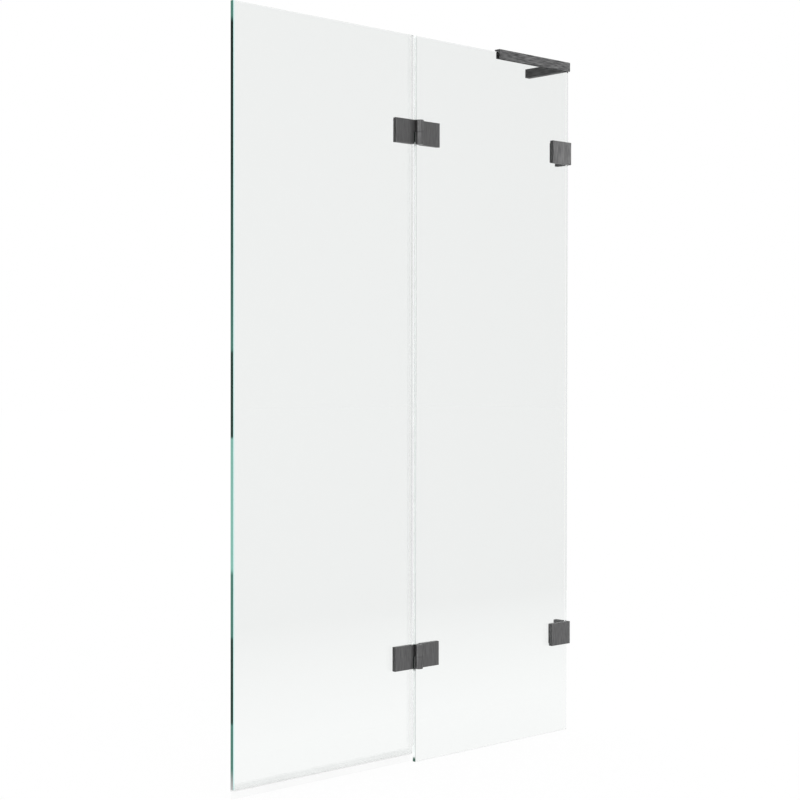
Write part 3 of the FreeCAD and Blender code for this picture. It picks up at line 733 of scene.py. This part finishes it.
class BATHSCREEN_OT_clamps(ScreenOperator, bpy.types.Operator):
    """Finish the wall clamps"""
    bl_idname = "bathscreen.clamps"
    bl_label = "Wall clamps"

    def make(self):
        # The clamps' graphite is a painted-light copy, made 12% lighter
        brushed = brushed_material("brushed graphite clamp", "Z", depth=0.7, level=1.12)
        for height in HEIGHTS:
            finish_node(f"{height}_clamp_plate", brushed)
            finish_node(f"{height}_wall_bracket", brushed)


class BATHSCREEN_OT_brace(ScreenOperator, bpy.types.Operator):
    """Finish the top brace, brushed along its length"""
    bl_idname = "bathscreen.brace"
    bl_label = "Top brace"

    def make(self):
        channel = brushed_material("brushed graphite channel", "X", depth=2.0)
        arm = brushed_material("brushed graphite arm", "Y", depth=1.35)
        finish_node("brace_channel", channel)
        finish_node("brace_arm", arm)


class BATHSCREEN_OT_fixings(ScreenOperator, bpy.types.Operator):
    """Finish the screws and the sleeves round them"""
    bl_idname = "bathscreen.fixings"
    bl_label = "Screws and sleeves"

    def make(self):
        steel = mottled_material("screw steel", look("metal").steel, rough=(0.25, 0.4),
                                 scale=150.0, metallic=1.0)
        sleeve = mottled_material("sleeve plastic", look("seal").bearing, rough=(0.4, 0.55),
                                  scale=80.0)
        for name in ("fixed_hinge", "door_hinge", "clamp"):
            finish_node(f"{name}_screws", steel)
            finish_node(f"{name}_sleeves", sleeve)
        for name in ("brace_corner_screw", "channel_grub_screws", "arm_grub_screws"):
            finish_node(name, steel)


class BATHSCREEN_OT_pads(ScreenOperator, bpy.types.Operator):
    """Make the rubber pads between metal and glass, with soft edges"""
    bl_idname = "bathscreen.pads"
    bl_label = "Rubber pads"

    def make(self):
        seal = look("seal")
        rubber = mottled_material("pad rubber", seal.rubber, rough=(0.6, 0.8), scale=110.0, bump=0.2)
        pads = {"brace_pad": "fixed_panel"}
        for height in HEIGHTS:
            for face in ("front", "back"):
                pads[f"{height}_clamp_{face}_pad"] = "fixed_panel"
                for side in SIDES:
                    pads[f"{height}_{side}_{face}_pad"] = BODY_OF_SIDE[side]
        for node, body in pads.items():
            pad = copy_node(node, f"{node}_rubber")
            round_edges(pad, seal.pad_round, PAD_STEPS)
            pad.data.materials.append(rubber)
            settle(pad, node, body)


class BATHSCREEN_OT_edge_seals(ScreenOperator, bpy.types.Operator):
    """Make the seal on the door's hinged edge: a clear grip and a hollow bulb"""
    bl_idname = "bathscreen.edge_seals"
    bl_label = "Edge seals"
    wall: FloatProperty(name="Wall", description="Thickness of the grip", unit="LENGTH",
                        default=0.0012, min=0.0)
    base: FloatProperty(name="Base", description="Thickness of the web on the glass edge",
                        unit="LENGTH", default=0.0012, min=0.0)
    bulb_wall: FloatProperty(name="Bulb wall", description="Thickness of the bulb", unit="LENGTH",
                             default=0.0006, min=0.0)
    steps: IntProperty(name="Steps", description="Points round the bulb", default=40, min=8)

    def make(self):
        look_of_seal = look("seal")
        clear = seal_material("edge seal plastic", look_of_seal.thin, look_of_seal.edge_index)
        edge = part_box("door_glass")[1].x + look_of_seal.glass_gap
        base = edge + self.base
        for node in ("top_edge_seal", "middle_edge_seal", "bottom_edge_seal"):
            low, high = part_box(node)
            radius = (high.x - base + self.bulb_wall) / 2.0
            middle = high.x - radius
            meet = math.acos((base - middle) / radius)
            bulb = round_points(middle, radius, [meet * (2.0 * step / self.steps - 1.0)
                                                 for step in range(self.steps + 1)])
            hollow = round_points(middle, radius - self.bulb_wall,
                                  [math.tau * step / self.steps for step in range(self.steps)])
            outer = high.y
            inner = outer - self.wall
            grip = rounded([(base, outer), (low.x, outer), (low.x, inner), (edge, inner),
                            (edge, -inner), (low.x, -inner), (low.x, -outer), (base, -outer)],
                           look_of_seal.lip_round)
            seal = extrude_outline(f"{node}_strip", [bulb + grip, hollow],
                                   lambda point: (point.x, point.y, low.z),
                                   (0.0, 0.0, high.z - low.z))
            seal.data.materials.append(clear)
            settle(seal, node, "door")


class BATHSCREEN_OT_sill_seal(ScreenOperator, bpy.types.Operator):
    """Make the drip seal under the door: a clear grip with a thin rim, and a leaning lip"""
    bl_idname = "bathscreen.sill_seal"
    bl_label = "Sill seal"
    wall: FloatProperty(name="Wall", description="Thickness of the grip", unit="LENGTH",
                        default=0.0012, min=0.0)
    base: FloatProperty(name="Base", description="Thickness under the glass", unit="LENGTH",
                        default=0.0025, min=0.0)
    lip: FloatProperty(name="Lip", description="Half the thickness of the lip", unit="LENGTH",
                       default=0.0005, min=0.0)
    rim: FloatProperty(name="Rim", description="Height of the thin rim along the top",
                       unit="LENGTH", default=0.0027, min=0.0)
    lean: FloatProperty(name="Lean", description="How far the lip leans into the bath",
                        unit="LENGTH", default=0.003, min=0.0)

    def make(self):
        look_of_seal = look("seal")
        low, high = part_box("sill_seal")
        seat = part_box("door_glass")[0].z - look_of_seal.glass_gap
        outer = high.y
        inner = outer - self.wall
        base = seat - self.base
        rim = high.z - self.rim
        outline = rounded([
            (-outer, high.z), (-inner, high.z), (-inner, rim), (-inner, seat), (inner, seat),
            (inner, rim), (inner, high.z), (outer, high.z), (outer, rim), (outer, seat),
            (outer, base), (self.lip, base), (self.lean + self.lip, low.z),
            (self.lean - self.lip, low.z), (-self.lip, base), (-outer, base), (-outer, seat),
            (-outer, rim)],
            look_of_seal.lip_round)
        seal = extrude_outline("sill_seal_strip", [outline],
                               lambda point: (low.x, point.x, point.y),
                               (high.x - low.x, 0.0, 0.0))

        def plastic_of(face):
            height = face.center.z
            if abs(face.normal.x) >= LEANS or seat <= height <= rim:
                return "grip"
            if height > rim:
                return "rim"
            return "thick" if height > base - self.lip else "thin"

        plastics = {part: seal_material(f"sill seal {part} plastic", getattr(look_of_seal, part),
                                        look_of_seal.sill_index)
                    for part in ("grip", "thick", "thin", "rim")}
        finish_faces(seal, plastics, plastic_of)
        settle(seal, "sill_seal", "door")


# Upright cards: two points on the floor, and the heights between which a card stands over them
FRONT_CARD = ((-1.0, -1.9), (6.0, -1.9), (0.0, 2.6))
SIDE_CARD = ((-2.6, 0.3), (-1.0, 3.4), (0.0, 3.0))
ARM_CARD = ((-2.66, 0.35), (-1.0, 3.55), (0.0, 3.0))
END_CARD = ((-1.946, 1.45), (-1.829, 1.675), (0.0, 3.0))
BACK_CARD = ((-1.0, 3.4), (3.4, 0.9), (0.0, 3.0))
CLAMP_CARD = ((2.0, -1.6), (3.0, -1.6), (1.25, 2.0))
HINGE_CARD = ((0.3, -1.6), (1.35, -1.6), (1.1, 1.85))
BARREL_CARD = ((-1.5, -0.27), (-1.5, 0.0), (0.0, 2.0))
WEB_CARD = ((1.5, -0.74), (1.5, -0.19), (0.0, 2.2))
# Cards that lie on the floor: their corners
FRONT_MAT = ((-1.0, -1.9, 0.0), (6.0, -1.9, 0.0), (4.0, -0.3, 0.0), (-1.6, -0.3, 0.0))
SIDE_MAT = ((-2.6, 0.3, 0.0), (-1.1, 0.3, 0.0), (-0.4, 3.4, 0.0), (-1.0, 3.4, 0.0))
NEAR_MAT = ((-2.3, 0.3, 0.001), (-0.85, 0.25, 0.001), (-1.0, 0.48, 0.001), (-2.1, 1.62, 0.001))
FAR_MAT = ((-0.95, 0.56, 0.001), (-0.95, 0.76, 0.001), (-1.9, 1.58, 0.001), (-1.9, 1.55, 0.001))
# Where two cards change their brightness: the axis, and the places between which they do
SIDE_FADE = ("Z", 1.7, 2.3)
FRONT_FADE = ("Y", -0.35, -1.7)
WHITE = 1.0
# The floor lies just under the screen, and shows this much white beside its own shade
FLOOR_DROP = 0.0005
FLOOR_ROUGHNESS = 0.9
FLOOR_WHITE = 0.94
LAMP_PLACE = (-1.6, -2.6, 2.6)
LAMP_AIM = (-0.5, 0.0, 0.8)
LAMP_SIZE = 1.6
CAMERA_REACH = 200.0


class BATHSCREEN_OT_studio(ScreenOperator, bpy.types.Operator):
    """Set up the pale floor, the cards, the soft light and the camera"""
    bl_idname = "bathscreen.studio"
    bl_label = "Studio"

    def make(self):
        self.floor()
        self.world()
        self.cards()
        self.lamps()
        self.camera()
        bpy.context.scene.view_settings.view_transform = "Standard"

    @staticmethod
    def combine(tree, place, operation, first, second, clamp=False):
        """The result of one sum on two values."""
        node = new_node(tree, "ShaderNodeMath", place, operation=operation, use_clamp=clamp)
        tree.links.new(first, node.inputs[0])
        tree.links.new(second, node.inputs[1])
        return node.outputs["Value"]

    def seen_white(self, tree):
        """One for the rays that should see plain white: from the camera, off metal, through glass."""
        rays = new_node(tree, "ShaderNodeLightPath", (-900, 300)).outputs
        direct = self.combine(tree, (-500, 300), "MAXIMUM",
                              rays["Is Camera Ray"], rays["Is Glossy Ray"])
        return self.combine(tree, (-300, 300), "MAXIMUM", direct, rays["Is Transmission Ray"])

    def floor(self):
        studio = look("studio")
        bpy.ops.object.select_all(action="DESELECT")
        bpy.ops.mesh.primitive_plane_add(size=studio.floor_size, location=(0.0, 0.0, -FLOOR_DROP))
        floor = bpy.context.object
        floor.name = "studio_floor"
        material, tree, shader = new_material("pale floor")
        shader.inputs["Base Color"].default_value = (*studio.floor_colour, 1.0)
        shader.inputs["Roughness"].default_value = FLOOR_ROUGHNESS
        white = new_node(tree, "ShaderNodeEmission", (0, -250), {"Strength": studio.floor_glow})
        share = new_node(tree, "ShaderNodeMath", (0, 300), operation="MULTIPLY")
        share.inputs[1].default_value = FLOOR_WHITE
        tree.links.new(self.seen_white(tree), share.inputs[0])
        mix_surface(tree, share.outputs["Value"], shader.outputs["BSDF"], white.outputs["Emission"])
        floor.data.materials.append(material)

    def world(self):
        world = bpy.data.worlds.new("studio light")
        bpy.context.scene.world = world
        world.use_nodes = True
        world.cycles.sampling_method = "NONE"
        tree = world.node_tree
        back = next(node for node in tree.nodes if node.type == "BACKGROUND")
        back.inputs["Color"].default_value = (1.0, 1.0, 1.0, 1.0)
        level = map_range(tree, (-200, 0), self.seen_white(tree),
                          wanted=(look("studio").ambient, WHITE))
        tree.links.new(level, back.inputs["Strength"])

    @staticmethod
    def upright(card):
        """The corners of a card that stands over a line between two points of the floor."""
        (x_0, y_0), (x_1, y_1), (low, high) = card
        return [(x_0, y_0, low), (x_1, y_1, low), (x_1, y_1, high), (x_0, y_0, high)]

    def card(self, name, corners, sharp, level, fade=None, far_level=0.0, through=False):
        """A card that only sharp or only soft reflections see, or only those through a pane.

        A fade is an axis and the two places between which the card goes to its far level.
        """
        bpy.ops.object.select_all(action="DESELECT")
        bpy.ops.mesh.primitive_plane_add(size=1.0)
        card = bpy.context.object
        card.name = name
        for index, corner in zip((0, 1, 3, 2), corners):
            card.data.vertices[index].co = corner
        material, tree, shader = new_material(name)
        tree.nodes.remove(shader)
        rays = new_node(tree, "ShaderNodeLightPath", (-700, 300)).outputs
        seen = self.combine(tree, (-300, 300), "MULTIPLY" if sharp else "SUBTRACT",
                            rays["Glossy Depth"], rays["Is Singular Ray"], clamp=True)
        if through:
            seen = self.combine(tree, (-100, 300), "MULTIPLY",
                                seen, rays["Transmission Depth"], clamp=True)
        glow = new_node(tree, "ShaderNodeEmission", (-200, -200), {"Strength": level})
        if fade:
            axis, start, end = fade
            change = map_range(tree, (-500, -200), object_parts(tree, (-900, -200))[axis],
                               (start, end), (level, far_level))
            tree.links.new(change, glow.inputs["Strength"])
        clear = new_node(tree, "ShaderNodeBsdfTransparent", (-200, 0))
        mix_surface(tree, seen, clear.outputs["BSDF"], glow.outputs["Emission"])
        material.cycles.emission_sampling = "NONE"
        card.data.materials.append(material)
        card.visible_camera = False
        card.visible_transmission = sharp
        card.visible_diffuse = False
        card.visible_shadow = False

    def cards(self):
        studio = look("studio")
        front, side = studio.front_card, studio.side_card
        self.card("front_card", self.upright(FRONT_CARD), True, front)
        self.card("front_mat", FRONT_MAT, True, WHITE, FRONT_FADE, front)
        self.card("arm_card", self.upright(ARM_CARD), False, studio.arm_card)
        self.card("side_card", self.upright(SIDE_CARD), True, side, SIDE_FADE, studio.side_top,
                  through=True)
        self.card("side_mat", SIDE_MAT, False, studio.arm_card)
        self.card("near_mat", NEAR_MAT, True, side, through=True)
        self.card("far_mat", FAR_MAT, True, side, through=True)
        self.card("end_card", self.upright(END_CARD), True, studio.end_card)
        self.card("back_card", self.upright(BACK_CARD), False, studio.back_card)
        self.card("hinge_card", self.upright(HINGE_CARD), False, studio.hinge_card)
        self.card("clamp_card", self.upright(CLAMP_CARD), False, studio.clamp_card)
        self.card("barrel_card", self.upright(BARREL_CARD), False, studio.barrel_card)
        self.card("web_card", self.upright(WEB_CARD), False, studio.web_card)

    def lamps(self):
        bpy.ops.object.light_add(type="AREA", location=LAMP_PLACE)
        lamp = bpy.context.object
        lamp.name = "key_lamp"
        lamp.data.energy = look("studio").key_power
        lamp.data.size = LAMP_SIZE
        lamp.rotation_euler = (Vector(LAMP_AIM) - lamp.location).to_track_quat("-Z", "Y").to_euler()
        lamp.visible_camera = False

    def camera(self):
        studio = look("studio")
        sin_yaw, cos_yaw = math.sin(studio.yaw), math.cos(studio.yaw)
        ahead = Vector((sin_yaw * math.cos(studio.pitch), cos_yaw * math.cos(studio.pitch),
                        math.sin(studio.pitch)))
        level = Vector((cos_yaw, -sin_yaw, 0.0))
        up = level.cross(ahead)
        right = math.cos(studio.roll) * level + math.sin(studio.roll) * up
        up = math.cos(studio.roll) * up - math.sin(studio.roll) * level
        bpy.ops.object.camera_add()
        camera = bpy.context.object
        camera.name = "photo_camera"
        turn = Matrix((right, up, -ahead)).transposed().to_4x4()
        camera.matrix_world = Matrix.Translation(studio.camera_place) @ turn
        camera.data.sensor_width = studio.sensor
        camera.data.lens = studio.lens
        camera.data.clip_end = CAMERA_REACH
        bpy.context.scene.camera = camera


OPERATORS = (
    BATHSCREEN_OT_panes, BATHSCREEN_OT_hinges, BATHSCREEN_OT_clamps, BATHSCREEN_OT_brace,
    BATHSCREEN_OT_fixings, BATHSCREEN_OT_pads, BATHSCREEN_OT_edge_seals, BATHSCREEN_OT_sill_seal,
    BATHSCREEN_OT_studio)


class BATHSCREEN_PT_panel(bpy.types.Panel):
    """The bath screen's pieces and looks"""
    bl_idname = "BATHSCREEN_PT_panel"
    bl_label = "Bath screen"
    bl_space_type = "VIEW_3D"
    bl_region_type = "UI"
    bl_category = "Bath screen"

    def draw(self, context):
        for operator in OPERATORS:
            self.layout.operator(operator.bl_idname)
        for name, kind in LOOKS.items():
            box = self.layout.box()
            box.label(text=name.capitalize())
            for value in kind.__annotations__:
                box.prop(look(name), value)


CLASSES = (*LOOKS.values(), *OPERATORS, BATHSCREEN_PT_panel)


def register():
    for kind in CLASSES:
        bpy.utils.register_class(kind)
    for name, kind in LOOKS.items():
        setattr(bpy.types.Scene, f"bath_screen_{name}", PointerProperty(type=kind))


def unregister():
    for name in LOOKS:
        delattr(bpy.types.Scene, f"bath_screen_{name}")
    for kind in reversed(CLASSES):
        bpy.utils.unregister_class(kind)


def main():
    register()
    for operator in OPERATORS:
        group, name = operator.bl_idname.split(".")
        getattr(getattr(bpy.ops, group), name)()


if __name__ == "__main__":
    main()
